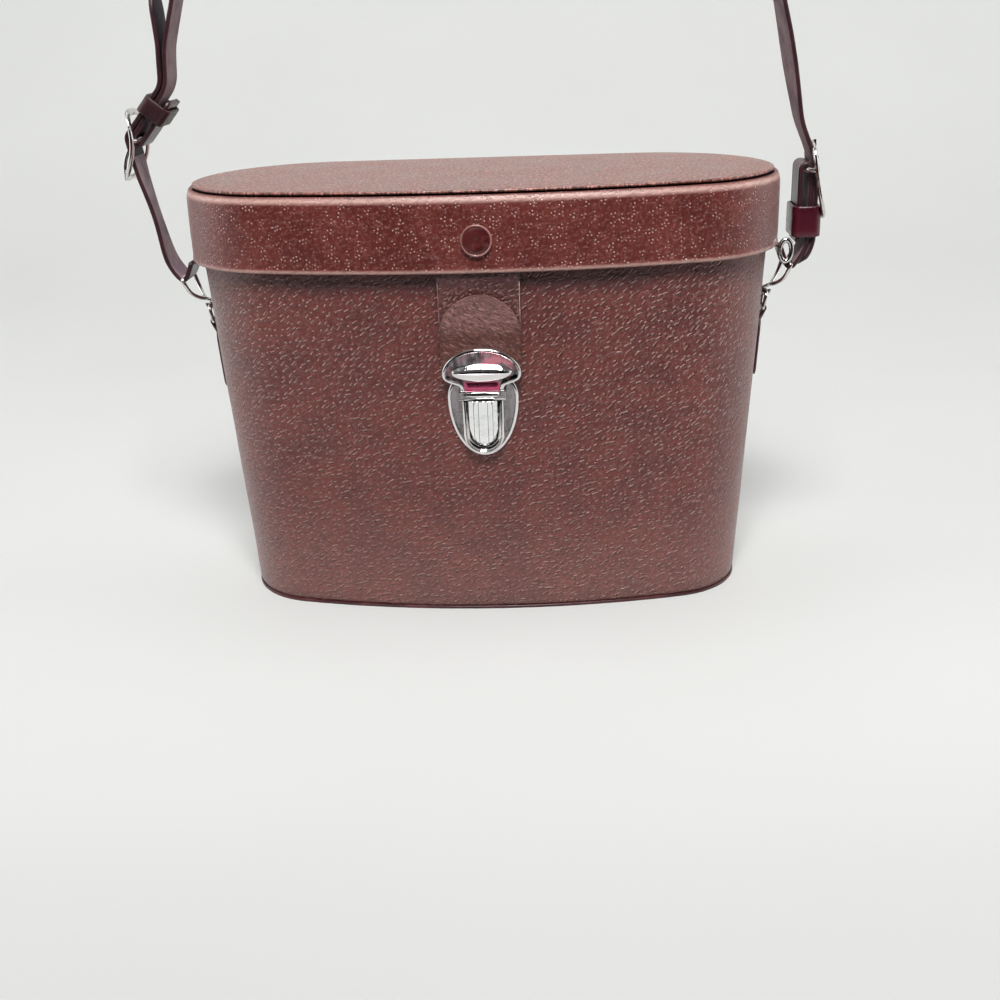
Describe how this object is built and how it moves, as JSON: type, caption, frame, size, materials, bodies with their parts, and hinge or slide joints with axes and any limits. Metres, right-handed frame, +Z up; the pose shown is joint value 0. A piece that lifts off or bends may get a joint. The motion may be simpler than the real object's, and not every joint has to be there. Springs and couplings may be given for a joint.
{
  "type": "binocular case",
  "caption": "Hard case with a round-ended tapered body, a hinged box lid, a push-button catch and a buckled shoulder strap clipped to its ends.",
  "frame": {"origin": "middle of the base's underside", "axes": "+Z up, the front with the catch faces -Y, +X to the viewer's right"},
  "size_m": [0.2464, 0.0967, 0.2992],
  "materials": {
    "leathercloth": "pigskin grain, semi gloss",
    "fibreboard": "matt",
    "lining": "short pile",
    "base_leather": "smooth, semi gloss",
    "trim_leather": "smooth, waxed",
    "strap_leather": "smooth, glossy",
    "keeper_leather": "smooth, glossy",
    "nickel": "nickel plated, worn",
    "steel": "plain",
    "brass_rivets": "plain",
    "stud_enamel": "gloss"
  },
  "bodies": {
    "case": {"body_shell": "fibreboard", "body_cover": "leathercloth", "rim_binding": "base_leather", "base_board": "fibreboard", "body_lining": "lining", "floor_pad": "lining", "base_panel": "base_leather", "hinge_leaf_body": "trim_leather", "hinge_rivets_body": "brass_rivets", "latch_base": "nickel", "latch_rivets": "steel", "latch_housing": "nickel", "latch_bridge": "nickel", "latch_spring": "steel", "side_tab_left": "trim_leather", "side_tab_right": "trim_leather", "d_ring_left": "nickel", "d_ring_right": "nickel", "side_rivets": "brass_rivets"},
    "lid": {"lid_band": "fibreboard", "lid_deck": "fibreboard", "lid_cover": "leathercloth", "lid_top": "leathercloth", "lid_pad": "lining", "hinge_leaf_lid": "trim_leather", "hinge_rivets_lid": "brass_rivets", "tab_anchor": "trim_leather", "stud_cap": "stud_enamel", "stud_post": "steel"},
    "hasp": {"latch_tab": "trim_leather", "tab_fold": "trim_leather", "hasp_plate": "nickel", "hasp_boss": "nickel", "hasp_tongue": "nickel", "hasp_rivets": "steel"},
    "button": {"latch_button": "nickel"},
    "strap": {"shoulder_strap": "strap_leather", "billet_left": "strap_leather", "chape_right": "strap_leather", "strap_clip_left": "nickel", "strap_clip_right": "nickel", "buckle_left": "nickel", "buckle_right": "nickel", "prong_left": "nickel", "prong_right": "nickel"},
    "keeper_l": {"keeper_left": "keeper_leather"},
    "keeper_r": {"keeper_right": "keeper_leather"}
  },
  "joints": [
    {"name": "lid_open", "type": "hinge", "parent": "case", "child": "lid", "pos_m": [0, 0.0456, 0.1252], "axis": [-1, 0, 0], "range_deg": [0, 110]},
    {"name": "hasp_swing", "type": "hinge", "parent": "lid", "child": "hasp", "pos_m": [0, -0.045, 0.1235], "axis": [-1, 0, 0], "range_deg": [-12, 0]},
    {"name": "button_press", "type": "slide", "parent": "case", "child": "button", "axis": [0, 0.998, 0.0638], "range_m": [0, 0.0009], "stiffness_N_per_m": 400, "springref_m": -0.0002},
    {"name": "strap_swing", "type": "hinge", "parent": "case", "child": "strap", "pos_m": [0, 0, 0.1045], "axis": [1, 0, 0], "range_deg": [-85, 85]},
    {"name": "keeper_left_slide", "type": "slide", "parent": "strap", "child": "keeper_l", "axis": [0.6508, 0, 0.7593], "range_m": [-0.002, 0.002]},
    {"name": "keeper_right_slide", "type": "slide", "parent": "strap", "child": "keeper_r", "axis": [0, 0, 1], "range_m": [-0.002, 0.002]}
  ],
  "couplings": [
    {"joint": "hasp_swing", "follows": "lid_open", "ratio": -0.1}
  ]
}
